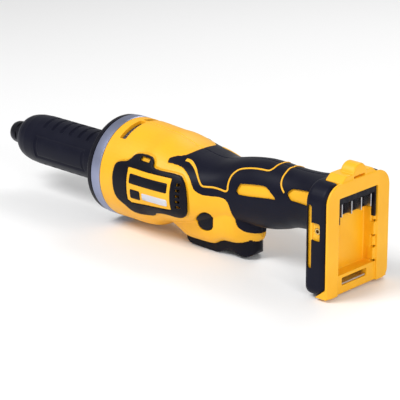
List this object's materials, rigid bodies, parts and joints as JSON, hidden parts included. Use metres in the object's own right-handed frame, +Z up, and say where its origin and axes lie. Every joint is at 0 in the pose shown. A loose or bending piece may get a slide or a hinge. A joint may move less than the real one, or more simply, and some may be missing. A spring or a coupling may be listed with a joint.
{
  "type": "die grinder",
  "caption": "Cordless straight die grinder with a long rubber-covered nose, round motor body, paddle trigger, rubber grip and an empty battery foot.",
  "frame": {"origin": "where the spindle axis meets the floor of the battery bay", "axes": "+X along the spindle axis, out of the battery bay and away from the collet; +Z up, away from the trigger; the clamshells part on Y = 0"},
  "size_m": [0.405, 0.0914, 0.1063],
  "materials": {
    "yellow": "moulded, fine texture",
    "black": "moulded, satin",
    "rubber": "soft overmould",
    "steel": "ground",
    "alloy": "satin cast",
    "dark_steel": "black oxide",
    "copper": "enamelled copper wire",
    "brass": "turned",
    "board": "solder mask",
    "potting": "cast"
  },
  "bodies": {
    "housing": {"neck_boot": "rubber", "neck_tube": "black", "front_flange": "black", "flange_ring": "alloy", "flange_screw_1": "dark_steel", "flange_screw_2": "dark_steel", "flange_screw_3": "dark_steel", "flange_screw_4": "dark_steel", "front_bearing": "steel", "rear_neck_bearing": "steel", "rotor_bearing": "steel", "nose_seal": "rubber", "neck_spacer": "alloy", "stator_core": "dark_steel", "stator_coils": "copper", "stator_insulator": "black", "sensor_board": "board", "rotor_bearing_holder": "black", "housing_left": "yellow", "grip_left": "rubber", "foot_bumper_left": "rubber", "clip_insert_left": "brass", "vent_cover_left": "black", "badge_left": "yellow", "dust_screen_left": "steel", "housing_right": "yellow", "grip_right": "rubber", "foot_bumper_right": "rubber", "clip_insert_right": "brass", "vent_cover_right": "black", "badge_right": "yellow", "dust_screen_right": "steel", "battery_receiver": "yellow", "terminal_block": "black", "terminal_blade_1": "steel", "terminal_blade_2": "steel", "terminal_blade_3": "steel", "terminal_blade_4": "steel", "latch_strike": "steel", "trigger_pin": "steel", "trigger_spring": "steel", "switch_module": "potting", "control_tray": "alloy", "control_board": "potting"},
    "spindle": {"spindle_shaft": "steel", "collet": "steel", "collet_nut": "dark_steel", "shaft_coupling": "alloy", "rotor_shaft": "steel", "rotor_core": "dark_steel", "fan": "black"},
    "trigger": {"trigger": "black"},
    "plunger": {"switch_plunger": "black"},
    "lock_button": {"lock_button": "black"}
  },
  "joints": [
    {"name": "spindle_turn", "type": "hinge", "parent": "housing", "child": "spindle", "pos_m": [-0.238, 0, 0], "axis": [1, 0, 0], "continuous": true},
    {"name": "trigger_pull", "type": "hinge", "parent": "housing", "child": "trigger", "pos_m": [-0.156, 0, -0.033], "axis": [0, -1, 0], "range_deg": [0, 6], "stiffness_Nm_per_rad": 0.4, "springref_deg": -22.92, "deforming": ["trigger_spring"]},
    {"name": "plunger_slide", "type": "slide", "parent": "housing", "child": "plunger", "axis": [0, 0, 1], "range_m": [0, 0.00545]},
    {"name": "lock_slide", "type": "slide", "parent": "housing", "child": "lock_button", "axis": [0, 1, 0], "range_m": [-0.003, 0.003]}
  ],
  "couplings": [
    {"joint": "plunger_slide", "follows": "trigger_pull", "m_per_rad": 0.052}
  ]
}
